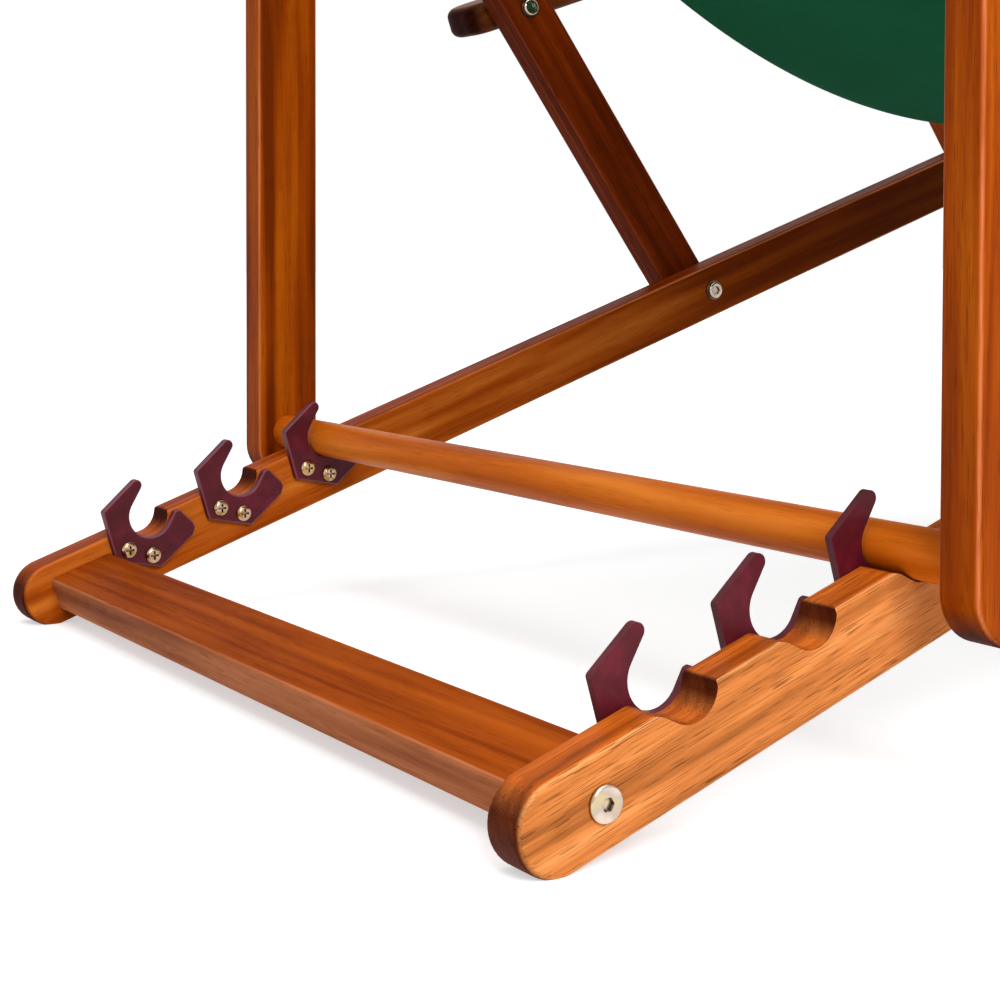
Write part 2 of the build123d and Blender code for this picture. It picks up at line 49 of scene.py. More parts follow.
# Directions of the boards, from the pivots that lie on them
base_run = (joints["legs_swing"] - joints["back_fold"]).normalized()
back_run = (joints["arm_left_tilt"] - joints["back_fold"]).normalized()
prop_run = Vector((0, 0, 1))
cross_run = Vector((1, 0, 0))


def colour(code):
    """Linear colour of an sRGB hex value."""
    parts = [int(code[place:place + 2], 16) / 255 for place in (0, 2, 4)]
    return [part / 12.92 if part <= 0.04045 else ((part + 0.055) / 1.055) ** 2.4 for part in parts] + [1.0]


def shifted(shade, scale, lift=0.0):
    """A linear colour scaled and lifted, and held at white."""
    return [min(1.0, part * scale + lift) for part in shade[:3]] + [1.0]


def add(tree, kind, inputs=None, stops=(), **settings):
    """Add a node with its settings. An input is a value or the socket that feeds it, and stops are the
    positions and colours of a ramp."""
    made = tree.nodes.new(kind)
    for name, value in settings.items():
        setattr(made, name, value)
    for name, value in (inputs or {}).items():
        if isinstance(value, bpy.types.NodeSocket):
            tree.links.new(value, made.inputs[name])
        else:
            made.inputs[name].default_value = value
    for place, (position, shade) in enumerate(stops):
        elements = made.color_ramp.elements
        element = elements[place] if place < 2 else elements.new(position)
        element.position = position
        element.color = shade
    return made


def new_material(name):
    """A material with an empty node tree."""
    material = bpy.data.materials.new(name)
    material.use_nodes = True
    material.node_tree.nodes.clear()
    return material, material.node_tree


WHITE = [1.0, 1.0, 1.0, 1.0]
BLACK = [0.0, 0.0, 0.0, 1.0]

# Hardwood: oiled acacia, planed and sanded. The eye sees broad growth bands, fine dark pores along the
# grain, paler arrises, rubbed and with a painted highlight, dark end grain, and a satin sheen that the
# pores break. Real pores are 0.2 mm wide, and they are drawn wider so that they show. Lengths lie along the
# grain, widths across it.
RING_WIDTH = 6 * MM
RING_WOBBLE = 30 * MM
WANDER_LENGTH = 420 * MM
WANDER_WIDTH = 55 * MM
FIGURE_LENGTH = 170 * MM
FIGURE_WIDTH = 12 * MM
FIBRE_LENGTH = 50 * MM
FIBRE_WIDTH = 1.4 * MM
PORE_LENGTH = 14 * MM
PORE_WIDTH = 0.5 * MM
CROWD_LENGTH = 70 * MM
CROWD_WIDTH = 5 * MM
GRAIN_RELIEF = 0.12 * MM

# Shares of the figure, the growth bands and the fibres in the tone, and where the tone turns pale, middle
# and dark
FIGURE_SHARE = 0.55
BAND_SHARE = 0.35
FIBRE_SHARE = 0.2
TONE_LIFT = 0.15
TONE_STOPS = (0.46, 0.60, 0.75)

# How dark the painted shade towards a board's front and the pores are against the wood's dark colour, and
# how fully they cover it
FRONT_SHADE_SHIFT = 0.12
FRONT_SHADE_SHARE = 0.8
FRONT_SHADE_DEPTH = 0.3
PORE_SHARE = 0.85
PORE_DEPTH = 0.35
END_TINT = colour("6C4826")
# Painted shade: the tint that deepens the faces that lie upwards
PAINTED_TOP_TINT = colour("EAB034")


def hardwood(name, run, shades, pith, log, haze, open_grain, arris_rub_and_highlight=0.0, painted_top_shade=0.0, front_shade=None):
    """Wood whose grain runs along a direction.

    shades are the pale, middle and dark colours, pith is how far the tree's middle lies from the board in
    millimetres, log picks another part of the tree, haze is the sheen, and open_grain is how plainly pores
    and fibres show. arris_rub_and_highlight is how pale the arrises are painted, rubbed in patches and as a
    painted highlight, and painted_top_shade is how much deeper the faces that lie upwards are painted, as
    painted shade for how the light falls on them. front_shade is where along the board, in millimetres, the
    painted shade towards its front, under the canvas, begins and where it is full."""
    material, tree = new_material(name)
    pale, middle, dark = [colour(shade) for shade in shades]
    side = Vector((1, 0, 0)) if abs(run.x) < 0.5 else Vector((0, 1, 0))
    turn = Matrix((run, side, run.cross(side))).to_euler()
    place = add(tree, "ShaderNodeTexCoord")
    normal = place.outputs["Normal"]
    board = add(tree, "ShaderNodeMapping", {"Vector": place.outputs["Object"], "Rotation": turn}).outputs[0]

    def stretched(length, width, seed, detail=2.0):
        """Noise drawn out along the grain."""
        spread = add(tree, "ShaderNodeMapping", {
            "Vector": board, "Scale": (1 / length, 1 / width, 1 / width), "Location": (seed, log, seed)})
        return add(tree, "ShaderNodeTexNoise", {
            "Vector": spread.outputs[0], "Scale": 1.0, "Detail": detail, "Roughness": 0.55}).outputs[0]

    # Growth bands: shells round the pith that wander along the log
    wander = stretched(WANDER_LENGTH, WANDER_WIDTH, seed=3.7, detail=1.0)
    from_pith = add(tree, "ShaderNodeVectorMath", {
        0: board, 1: (0.0, -pith[0] * MM, -pith[1] * MM)}, operation="ADD").outputs[0]
    across = add(tree, "ShaderNodeVectorMath", {
        0: from_pith, 1: (0.0, 1.0, 1.0)}, operation="MULTIPLY").outputs[0]
    shell = add(tree, "ShaderNodeVectorMath", {0: across}, operation="LENGTH").outputs["Value"]
    ring = add(tree, "ShaderNodeMath", {
        0: wander, 1: RING_WOBBLE, 2: shell}, operation="MULTIPLY_ADD").outputs[0]
    band = add(tree, "ShaderNodeTexNoise", {
        "W": ring, "Scale": 1 / RING_WIDTH, "Detail": 2.0}, noise_dimensions="1D").outputs[0]

    # Tone: the bands, the broad figure and the fibres together, and the painted shade towards the front on
    # top
    figure = stretched(FIGURE_LENGTH, FIGURE_WIDTH, seed=11.3, detail=1.5)
    fibre = stretched(FIBRE_LENGTH, FIBRE_WIDTH, seed=23.9, detail=1.0)
    flecked = FIBRE_SHARE * open_grain
    tone = add(tree, "ShaderNodeMath", {
        0: band, 1: BAND_SHARE, 2: TONE_LIFT - flecked / 2}, operation="MULTIPLY_ADD").outputs[0]
    tone = add(tree, "ShaderNodeMath", {
        0: figure, 1: FIGURE_SHARE, 2: tone}, operation="MULTIPLY_ADD").outputs[0]
    tone = add(tree, "ShaderNodeMath", {0: fibre, 1: flecked, 2: tone}, operation="MULTIPLY_ADD").outputs[0]
    # Painted shade: the board darkens towards its front, where the canvas shades it
    if front_shade:
        along = add(tree, "ShaderNodeSeparateXYZ", {0: board}).outputs[0]
        front_shade_amount = add(tree, "ShaderNodeMapRange", {
            "Value": along, "From Min": front_shade[0] * MM, "From Max": front_shade[1] * MM}).outputs[0]
        tone = add(tree, "ShaderNodeMath", {
            0: front_shade_amount, 1: FRONT_SHADE_SHIFT, 2: tone}, operation="MULTIPLY_ADD").outputs[0]
    base = add(tree, "ShaderNodeValToRGB", {"Fac": tone}, zip(TONE_STOPS, (pale, middle, dark))).outputs[0]
    if front_shade:
        full = add(tree, "ShaderNodeMath", {0: front_shade_amount, 1: FRONT_SHADE_SHARE}, operation="MULTIPLY").outputs[0]
        base = add(tree, "ShaderNodeMix", {
            0: full, 6: base, 7: shifted(dark, FRONT_SHADE_DEPTH)}, data_type="RGBA").outputs[2]

    # Painted shade: the faces that lie upwards are painted deeper than the sides, for how the light falls on
    # them
    if painted_top_shade:
        upward = add(tree, "ShaderNodeSeparateXYZ", {0: normal}).outputs[2]
        top_shade = add(tree, "ShaderNodeMapRange", {
            "Value": upward, "From Min": 0.3, "From Max": 0.85, "To Max": painted_top_shade}).outputs[0]
        base = add(tree, "ShaderNodeMix", {
            0: top_shade, 6: base, 7: PAINTED_TOP_TINT}, data_type="RGBA", blend_type="MULTIPLY").outputs[2]

    # Arrises are painted pale in patches, where a board's broad face turns into its edges: rubbing, and a
    # painted highlight along the arris
    if arris_rub_and_highlight:
        facing = add(tree, "ShaderNodeVectorMath", {
            0: normal, 1: side}, operation="DOT_PRODUCT").outputs["Value"]
        broad = add(tree, "ShaderNodeMath", {0: facing}, operation="ABSOLUTE").outputs[0]
        turned = add(tree, "ShaderNodeVectorMath", {0: normal, 1: side}, operation="CROSS_PRODUCT").outputs[0]
        edge = add(tree, "ShaderNodeVectorMath", {0: turned}, operation="LENGTH").outputs["Value"]
        between = add(tree, "ShaderNodeMath", {0: broad, 1: edge}, operation="MINIMUM").outputs[0]
        arris = add(tree, "ShaderNodeMapRange", {
            "Value": between, "From Min": 0.35, "From Max": 0.68, "To Max": arris_rub_and_highlight}).outputs[0]
        patches = add(tree, "ShaderNodeMapRange", {
            "Value": fibre, "From Min": 0.35, "From Max": 0.55, "To Min": 0.45}).outputs[0]
        rubbed_highlight = add(tree, "ShaderNodeMath", {0: arris, 1: patches}, operation="MULTIPLY").outputs[0]
        base = add(tree, "ShaderNodeMix", {
            0: rubbed_highlight, 6: base, 7: shifted(pale, 1.4, 0.06)}, data_type="RGBA").outputs[2]

    # Pores: short dark strokes that crowd together in streaks
    stroke = stretched(PORE_LENGTH, PORE_WIDTH, seed=41.1, detail=0.5)
    strokes = add(tree, "ShaderNodeMapRange", {
        "Value": stroke, "From Min": 0.56, "From Max": 0.64}).outputs[0]
    crowd = stretched(CROWD_LENGTH, CROWD_WIDTH, seed=57.2)
    crowding = add(tree, "ShaderNodeMapRange", {
        "Value": crowd, "From Min": 0.4, "From Max": 0.6, "To Min": 0.35}).outputs[0]
    pores = add(tree, "ShaderNodeMath", {0: strokes, 1: crowding}, operation="MULTIPLY").outputs[0]
    filled = add(tree, "ShaderNodeMath", {
        0: pores, 1: PORE_SHARE * open_grain}, operation="MULTIPLY").outputs[0]
    base = add(tree, "ShaderNodeMix", {
        0: filled, 6: base, 7: shifted(dark, PORE_DEPTH)}, data_type="RGBA").outputs[2]

    # End grain shows where the surface faces along the board
    facing = add(tree, "ShaderNodeVectorMath", {0: normal, 1: run}, operation="DOT_PRODUCT").outputs["Value"]
    sawn = add(tree, "ShaderNodeMath", {0: facing}, operation="ABSOLUTE").outputs[0]
    end = add(tree, "ShaderNodeMapRange", {"Value": sawn, "From Min": 0.2, "From Max": 0.8}).outputs[0]
    base = add(tree, "ShaderNodeMix", {
        0: end, 6: base, 7: END_TINT}, data_type="RGBA", blend_type="MULTIPLY").outputs[2]

    # Pores and end grain are duller, and the pores are sunk
    dull = add(tree, "ShaderNodeMapRange", {"Value": pores, "To Min": 0.38, "To Max": 0.6}).outputs[0]
    rough = add(tree, "ShaderNodeMath", {0: end, 1: 0.2, 2: dull}, operation="MULTIPLY_ADD").outputs[0]
    height = add(tree, "ShaderNodeMath", {0: fibre, 1: pores}, operation="SUBTRACT").outputs[0]
    bump = add(tree, "ShaderNodeBump", {"Height": height, "Strength": 0.3, "Distance": GRAIN_RELIEF})
    shader = add(tree, "ShaderNodeBsdfPrincipled", {
        "Base Color": base, "Roughness": rough, "Normal": bump.outputs[0], "IOR": 1.5,
        "Specular IOR Level": haze})
    add(tree, "ShaderNodeOutputMaterial", {"Surface": shader.outputs[0]})
    return material


# Nylon: the cloudiness and the grit of moulded hooks, and the cloudiness of turned spacers
MOULD_CLOUD = 12 * MM
MOULD_GRIT = 0.6 * MM
GRIT_RELIEF = 0.12 * MM
BAR_CLOUD = 4 * MM
NYLON_IOR = 1.53


def moulded_nylon():
    """Glass-filled nylon, injection-moulded: low sheen, the spark-eroded grit of the mould, and bevels
    painted pale, rubbed and with a painted highlight.
    """
    material, tree = new_material("burgundy_moulded_nylon")
    place = add(tree, "ShaderNodeTexCoord")
    spot = place.outputs["Object"]
    cloudy = add(tree, "ShaderNodeTexNoise", {
        "Vector": spot, "Scale": 1 / MOULD_CLOUD, "Detail": 3.0}).outputs[0]
    tone = add(tree, "ShaderNodeValToRGB", {"Fac": cloudy}, [
        (0.35, colour("480B16")), (0.52, colour("530E1C")), (0.68, colour("621424"))]).outputs[0]
    grit = add(tree, "ShaderNodeTexNoise", {
        "Vector": spot, "Scale": 1 / MOULD_GRIT, "Detail": 2.0}).outputs[0]

    # The bevels lie halfway between the hook's faces, which look along X, and its rim. They are painted pale,
    # rubbed and with a painted highlight.
    facing = add(tree, "ShaderNodeSeparateXYZ", {0: place.outputs["Normal"]}).outputs[0]
    flat = add(tree, "ShaderNodeMath", {0: facing}, operation="ABSOLUTE").outputs[0]
    tilt = add(tree, "ShaderNodeMath", {0: flat, 1: 0.7}, operation="SUBTRACT").outputs[0]
    away = add(tree, "ShaderNodeMath", {0: tilt}, operation="ABSOLUTE").outputs[0]
    rubbed_highlight = add(tree, "ShaderNodeMapRange", {
        "Value": away, "From Min": 0.28, "From Max": 0.1, "To Max": 0.5}).outputs[0]
    base = add(tree, "ShaderNodeMix", {0: rubbed_highlight, 6: tone, 7: colour("9A5468")}, data_type="RGBA").outputs[2]
    rough = add(tree, "ShaderNodeMapRange", {"Value": grit, "To Min": 0.32, "To Max": 0.55}).outputs[0]
    bump = add(tree, "ShaderNodeBump", {"Height": grit, "Strength": 0.45, "Distance": GRIT_RELIEF})
    shader = add(tree, "ShaderNodeBsdfPrincipled", {
        "Base Color": base, "Roughness": rough, "Normal": bump.outputs[0], "IOR": NYLON_IOR,
        "Specular IOR Level": 0.2})
    add(tree, "ShaderNodeOutputMaterial", {"Surface": shader.outputs[0]})
    return material


def turned_nylon():
    """Natural nylon spacers: milky and faintly clouded."""
    material, tree = new_material("natural_nylon")
    spot = add(tree, "ShaderNodeTexCoord").outputs["Object"]
    cloudy = add(tree, "ShaderNodeTexNoise", {
        "Vector": spot, "Scale": 1 / BAR_CLOUD, "Detail": 2.0}).outputs[0]
    tone = add(tree, "ShaderNodeValToRGB", {"Fac": cloudy}, [
        (0.3, colour("CFC6B0")), (0.7, colour("E2DCCB"))]).outputs[0]
    shader = add(tree, "ShaderNodeBsdfPrincipled", {"Base Color": tone, "Roughness": 0.45, "IOR": NYLON_IOR})
    add(tree, "ShaderNodeOutputMaterial", {"Surface": shader.outputs[0]})
    return material


# Plated steel: spacing and depth of the handling scratches, and the reach of the painted shade in recesses
SCRATCH_PITCH = 0.6 * MM
SCRATCH_RELIEF = 0.03 * MM
RECESS_SHADE_REACH = 2.5 * MM


def plated(name, shades, rough, patch):
    """Plated steel: shades are the plating's tints, which drift over a patch, with fine handling scratches,
    and painted shade that darkens the recesses."""
    material, tree = new_material(name)
    spot = add(tree, "ShaderNodeTexCoord").outputs["Object"]
    drift = add(tree, "ShaderNodeTexNoise", {"Vector": spot, "Scale": 1 / patch, "Detail": 1.0}).outputs[0]
    tint = add(tree, "ShaderNodeValToRGB", {"Fac": drift}, [
        (0.35, colour(shades[0])), (0.5, colour(shades[1])), (0.65, colour(shades[2]))]).outputs[0]
    # Painted shade: recesses are darkened by how much the surroundings close over them
    recess_shade = add(tree, "ShaderNodeAmbientOcclusion", {"Distance": RECESS_SHADE_REACH}, samples=6).outputs["AO"]
    unshaded_share = add(tree, "ShaderNodeMapRange", {
        "Value": recess_shade, "From Min": 0.35, "From Max": 0.8, "To Min": 0.12}).outputs[0]
    base = add(tree, "ShaderNodeVectorMath", {0: tint, 1: unshaded_share}, operation="MULTIPLY").outputs[0]
    scratch = add(tree, "ShaderNodeTexNoise", {
        "Vector": spot, "Scale": 1 / SCRATCH_PITCH, "Detail": 4.0}).outputs[0]
    sheen = add(tree, "ShaderNodeMapRange", {
        "Value": scratch, "To Min": rough - 0.08, "To Max": rough + 0.1}).outputs[0]
    bump = add(tree, "ShaderNodeBump", {"Height": scratch, "Strength": 0.12, "Distance": SCRATCH_RELIEF})
    shader = add(tree, "ShaderNodeBsdfPrincipled", {
        "Base Color": base, "Metallic": 1.0, "Roughness": sheen, "Normal": bump.outputs[0]})
    add(tree, "ShaderNodeOutputMaterial", {"Surface": shader.outputs[0]})
    return material


# Canvas: plain-woven cotton, dyed bottle green. The real threads lie 0.5 mm apart; they are drawn 0.9 mm
# apart, which is the finest that still shows from a step away.
CANVAS_WIDTH = 464 * MM
CLOTH = 0.8 * MM
THREAD_PITCH = 0.9 * MM
THREAD_RELIEF = 0.12 * MM
SLUB_LENGTH = 30 * MM
FADING = 140 * MM


def canvas_cloth():
    """Bottle-green canvas, read from the sheet's own flat map in metres, with slubs and faded patches."""
    material, tree = new_material("bottle_green_canvas")
    flat = add(tree, "ShaderNodeUVMap", uv_map="flat_cut").outputs[0]
    counted = add(tree, "ShaderNodeMapping", {
        "Vector": flat, "Scale": (1 / THREAD_PITCH, 1 / THREAD_PITCH, 1.0)}).outputs[0]
    counts = add(tree, "ShaderNodeSeparateXYZ", {0: counted}).outputs

    def thread(count):
        """Round profile of the threads that are counted along one direction."""
        half_turns = add(tree, "ShaderNodeMath", {0: count, 1: pi}, operation="MULTIPLY").outputs[0]
        wave = add(tree, "ShaderNodeMath", {0: half_turns}, operation="SINE").outputs[0]
        return add(tree, "ShaderNodeMath", {0: wave}, operation="ABSOLUTE").outputs[0]

    warp, weft = thread(counts[0]), thread(counts[1])
    over = add(tree, "ShaderNodeTexChecker", {
        "Vector": counted, "Color1": WHITE, "Color2": BLACK, "Scale": 1.0}).outputs["Fac"]
    woven = add(tree, "ShaderNodeMix", {0: over, 2: warp, 3: weft}).outputs[0]

    slub_place = add(tree, "ShaderNodeMapping", {
        "Vector": flat, "Scale": (1 / SLUB_LENGTH, 1 / THREAD_PITCH, 1.0)}).outputs[0]
    slub = add(tree, "ShaderNodeTexNoise", {"Vector": slub_place, "Scale": 1.0, "Detail": 1.0}).outputs[0]
    faded = add(tree, "ShaderNodeTexNoise", {"Vector": flat, "Scale": 1 / FADING, "Detail": 3.0}).outputs[0]
    drift = add(tree, "ShaderNodeMath", {0: slub, 1: 0.5, 2: faded}, operation="MULTIPLY_ADD").outputs[0]
    tone = add(tree, "ShaderNodeValToRGB", {"Fac": drift}, [
        (0.45, colour("185C3A")), (0.75, colour("1A6240")), (1.0, colour("1D6844"))]).outputs[0]
    # Painted shade: the hollows between the threads are painted darker
    weave_shade = add(tree, "ShaderNodeMapRange", {"Value": woven, "To Min": 0.72}).outputs[0]
    base = add(tree, "ShaderNodeVectorMath", {0: tone, 1: weave_shade}, operation="MULTIPLY").outputs[0]
    bump = add(tree, "ShaderNodeBump", {"Height": woven, "Strength": 0.35, "Distance": THREAD_RELIEF})
    shader = add(tree, "ShaderNodeBsdfPrincipled", {
        "Base Color": base, "Roughness": 0.9, "Normal": bump.outputs[0], "Specular IOR Level": 0.03})
    add(tree, "ShaderNodeOutputMaterial", {"Surface": shader.outputs[0]})
    return material


THREAD_TWIST = 1.2 * MM


def spun_thread():
    """Green polyester sewing thread, a shade paler than the canvas, with its twist."""
    material, tree = new_material("green_sewing_thread")
    spot = add(tree, "ShaderNodeTexCoord").outputs["Object"]
    twist = add(tree, "ShaderNodeTexWave", {
        "Vector": spot, "Scale": 1 / THREAD_TWIST, "Distortion": 1.0}).outputs[1]
    tone = add(tree, "ShaderNodeValToRGB", {"Fac": twist}, [
        (0.2, colour("1D5537")), (0.8, colour("2A6A48"))]).outputs[0]
    shader = add(tree, "ShaderNodeBsdfPrincipled", {"Base Color": tone, "Roughness": 0.55})
    add(tree, "ShaderNodeOutputMaterial", {"Surface": shader.outputs[0]})
    return material


# Pale, middle and dark colours of the boards. Each board comes from its own part of the tree. The two darkest
# sets, for the far back rail and the far arm, are darkened as painted shade, for the shade those boards lie
# in.
HONEY = ("EA9A58", "D27E3E", "A05A28")
TAWNY = ("CE7226", "B25210", "7C2F02")
AMBER = ("E88228", "D0660C", "A84806")
RUSSET = ("C4600E", "A84704", "7C2F02")
BROWN = ("AE5406", "943C02", "6C2802")
ROSE = ("C67C52", "AE663E", "844428")
SHADED_UMBER = ("844210", "6A3208", "4A2004")
SHADED_DARK = ("823208", "682404", "481602")
boards = {
    "base_rail_right": dict(
        run=base_run, shades=HONEY, pith=(46, 18), haze=0.05, open_grain=0.85, arris_rub_and_highlight=0.5, painted_top_shade=0.85),
    # The far base rail is painted darker towards its front, as painted shade under the canvas
    "base_rail_left": dict(
        run=base_run, shades=TAWNY, pith=(-52, 25), haze=0.02, open_grain=0.35, arris_rub_and_highlight=0.4, painted_top_shade=0.5,
        front_shade=(-300, 240)),
    "cross_board": dict(
        run=cross_run, shades=ROSE, pith=(20, -70), haze=0.006, open_grain=0.3, arris_rub_and_highlight=0.35, painted_top_shade=0.95),
    "prop_dowel": dict(run=cross_run, shades=AMBER, pith=(8, 30), haze=0.06, open_grain=0.2),
    "prop_upright_left": dict(
        run=prop_run, shades=BROWN, pith=(60, 12), haze=0.02, open_grain=0.4, arris_rub_and_highlight=0.9),
    "prop_upright_right": dict(
        run=prop_run, shades=BROWN, pith=(-48, 22), haze=0.04, open_grain=0.5, arris_rub_and_highlight=0.9),
    "back_rail_left": dict(
        run=back_run, shades=SHADED_DARK, pith=(55, -14), haze=0.015, open_grain=0.6, arris_rub_and_highlight=0.25),
    "back_rail_right": dict(
        run=back_run, shades=RUSSET, pith=(-50, 30), haze=0.05, open_grain=0.6, arris_rub_and_highlight=0.5),
    "head_bar": dict(run=cross_run, shades=RUSSET, pith=(10, 28), haze=0.06, open_grain=0.5),
    "front_bar": dict(run=cross_run, shades=BROWN, pith=(12, 26), haze=0.06, open_grain=0.5),
    "arm_left": dict(run=base_run, shades=SHADED_UMBER, pith=(15, 80), haze=0.03, open_grain=0.6, arris_rub_and_highlight=0.25),
    "arm_right": dict(run=base_run, shades=RUSSET, pith=(-20, 76), haze=0.05, open_grain=0.6, arris_rub_and_highlight=0.5),
    "leg_left": dict(run=back_run, shades=BROWN, pith=(58, 20), haze=0.03, open_grain=0.6, arris_rub_and_highlight=0.35),
    "leg_right": dict(run=back_run, shades=RUSSET, pith=(-55, 16), haze=0.05, open_grain=0.6, arris_rub_and_highlight=0.5),
    "leg_stretcher": dict(run=cross_run, shades=BROWN, pith=(9, 27), haze=0.06, open_grain=0.5),
}
for log, (name, character) in enumerate(boards.items(), start=1):
    nodes[name].material_slots[0].material = hardwood(f"oiled_acacia_{name}", log=log, **character)

# Finishes of the small pieces, by a word in their names
finishes = {
    "notch_hook": moulded_nylon(),
    "screws": plated("yellow_zinc_plate", ("B8924E", "C2A596", "9C7838"), rough=0.2, patch=4 * MM),
    "bolts": plated("nickel_plate", ("CEC0B0", "B6A69A", "C4B488"), rough=0.18, patch=9 * MM),
    "washers": plated("blued_washers", ("6A5A50", "5C5048", "74664E"), rough=0.3, patch=10 * MM),
    "nuts": plated("zinc_plate", ("A8A49C", "96948F", "B0A896"), rough=0.28, patch=8 * MM),
    "spacers": turned_nylon(),
}
for name, piece in nodes.items():
    for word, finish in finishes.items():
        if word in name:
            piece.material_slots[0].material = finish

# Canvas sling, in side view: reach is -Y, and each hem wraps its bar and is sewn under the sheet
SLACK = 554 * MM
HEM_PLAY = 0.3 * MM
LAYER = CLOTH + 0.05 * MM
POCKET_TURN = radians(25)
SEAM_BEND = 3 * MM
HEM_DEPTH = 27 * MM
TURNED_IN = 9 * MM

# Longest steps along the path, and the number of columns across
WRAP_STEP = 1.8 * MM
BEND_STEP = 0.5 * MM
HEM_STEP = 3 * MM
SLING_STEP = 4 * MM
ACROSS_COUNT = 58


def bar_centre(name):
    """Reach and height of a round bar's middle line, and its radius."""
    low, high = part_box(name)
    return Vector((-(low.y + high.y) / 2, (low.z + high.z) / 2)), (high.z - low.z) / 2


front_bar, bar_radius = bar_centre("front_bar")
head_bar, _ = bar_centre("head_bar")
wrap = bar_radius + HEM_PLAY + CLOTH / 2
pocket = (wrap * (1 + sin(POCKET_TURN)) - 2 * LAYER) / cos(POCKET_TURN)


def pointing(turn):
    """Unit vector at an angle above the forward direction."""
    return Vector((cos(turn), sin(turn)))


def hanging_turns():
    """Slopes at the front and at the head of the hanging curve that touches both wraps."""
    front_slope, head_slope = atan2(base_run.z, -base_run.y), atan2(-back_run.z, back_run.y)
    for _ in range(8):
        front = front_bar + wrap * pointing(front_slope + pi / 2)
        head = head_bar + wrap * pointing(head_slope + pi / 2)
        half_run = (front.x - head.x) / (2 * SLACK)
        middle = asinh((front.y - head.y) / (2 * SLACK * sinh(half_run)))
        front_slope, head_slope = atan(sinh(middle + half_run)), atan(sinh(middle - half_run))
    return front_slope, head_slope


def walk(start, heading, pieces):
    """Points along a path of pieces (length, turn, step), and each one's heading."""
    point, found = start.copy(), []
    for length, turn, step in pieces:
        count = max(1, round(length / step))
        for _ in range(count):
            heading += turn / count / 2
            point = point + length / count * pointing(heading)
            heading += turn / count / 2
            found.append((point, heading))
    return found


def hem(bar, turn, side):
    """Path from where the sling leaves the bar, round it and back under the sling: side is 1 at the head."""
    around = 3 * pi / 2 - POCKET_TURN
    bend = pi / 2 - POCKET_TURN
    straight = pocket - SEAM_BEND * tan(bend / 2)
    along_sling = HEM_DEPTH * cos(turn) ** 2 / SLACK
    start = bar + wrap * pointing(turn + pi / 2)
    return walk(start, turn + pi if side > 0 else turn, [
        (wrap * around, side * around, WRAP_STEP),
        (straight, 0.0, WRAP_STEP),
        (SEAM_BEND * bend, -side * bend, BEND_STEP),
        (HEM_DEPTH, side * along_sling, HEM_STEP),
        (LAYER / 2 * pi, side * pi, LAYER / 8),
        (TURNED_IN, -side * along_sling * TURNED_IN / HEM_DEPTH, HEM_STEP),
    ])


front_turn, head_turn = hanging_turns()
sling_length = SLACK * (tan(front_turn) - tan(head_turn))


def on_sling(distance):
    """Place and forward heading on the hanging curve at a distance from the head's wrap."""
    turn = atan(tan(head_turn) + distance / SLACK)
    start, here = asinh(tan(head_turn)), asinh(tan(turn))
    shift = Vector((SLACK * (here - start), SLACK * (cosh(here) - cosh(start))))
    return head_bar + wrap * pointing(head_turn + pi / 2) + shift, turn


sling_count = round(sling_length / SLING_STEP)
head_hem = [(point, heading + pi) for point, heading in reversed(hem(head_bar, head_turn, 1))]
sling = [on_sling(sling_length * step / sling_count) for step in range(sling_count + 1)]
front_hem = hem(front_bar, front_turn, -1)
sling_path = head_hem + sling + front_hem
path_lengths = [0.0]
for (here, _), (there, _) in zip(sling_path, sling_path[1:]):
    path_lengths.append(path_lengths[-1] + (there - here).length)
sling_start = path_lengths[len(head_hem)]

# The cloth isn't perfectly flat: the hems pucker at their seams and the middle hangs a little
PUCKER = 0.5 * MM
PUCKER_PITCH = 13 * MM
PUCKER_LENGTH = 90 * MM
PUCKER_REACH = 28 * MM
SEAM_PLACE = 20 * MM
MIDDLE_SAG = 2.5 * MM
BILLOW = 1.2 * MM
BILLOW_WIDTH = 170 * MM
BILLOW_LENGTH = 260 * MM
BILLOW_START = 60 * MM


def relief(across, distance):
    """How far the sling lies above its hanging curve, between its two wraps."""
    along = distance - sling_start
    if not 0 < along < sling_length:
        return 0.0
    from_hem = min(along, sling_length - along)
    settle = min(1.0, from_hem / BILLOW_START) ** 2
    near_seam = max(0.0, 1 - abs(from_hem - SEAM_PLACE - HEM_DEPTH / 2) / PUCKER_REACH)
    ripple = noise.noise((across / PUCKER_PITCH, distance / PUCKER_LENGTH, 0.5)) * near_seam ** 2
    broad = noise.noise((across / BILLOW_WIDTH, distance / BILLOW_LENGTH, 7.5))
    hang = (1 - (2 * across / CANVAS_WIDTH) ** 2) * sin(pi * along / sling_length)
    return PUCKER * ripple + BILLOW * broad * settle - MIDDLE_SAG * hang


def laid(across, distance, lift=0.0):
    """Point of the flat cut once it hangs: across from its middle, distance along it, lift off its upper
    face."""
    step = min(bisect_right(path_lengths, distance) - 1, len(sling_path) - 2)
    (here, turn), (there, next_turn) = sling_path[step], sling_path[step + 1]
    share = (distance - path_lengths[step]) / (path_lengths[step + 1] - path_lengths[step])
    upward = pointing(turn + (next_turn - turn) * share + pi / 2)
    spot = here.lerp(there, share) + (lift + relief(across, distance)) * upward
    return Vector((across, -spot.x, spot.y))


def link(name, mesh, material):
    """A new piece from a finished bmesh."""
    data = bpy.data.meshes.new(name)
    mesh.to_mesh(data)
    mesh.free()
    data.materials.append(material)
    piece = bpy.data.objects.new(name, data)
    bpy.context.scene.collection.objects.link(piece)
    return piece


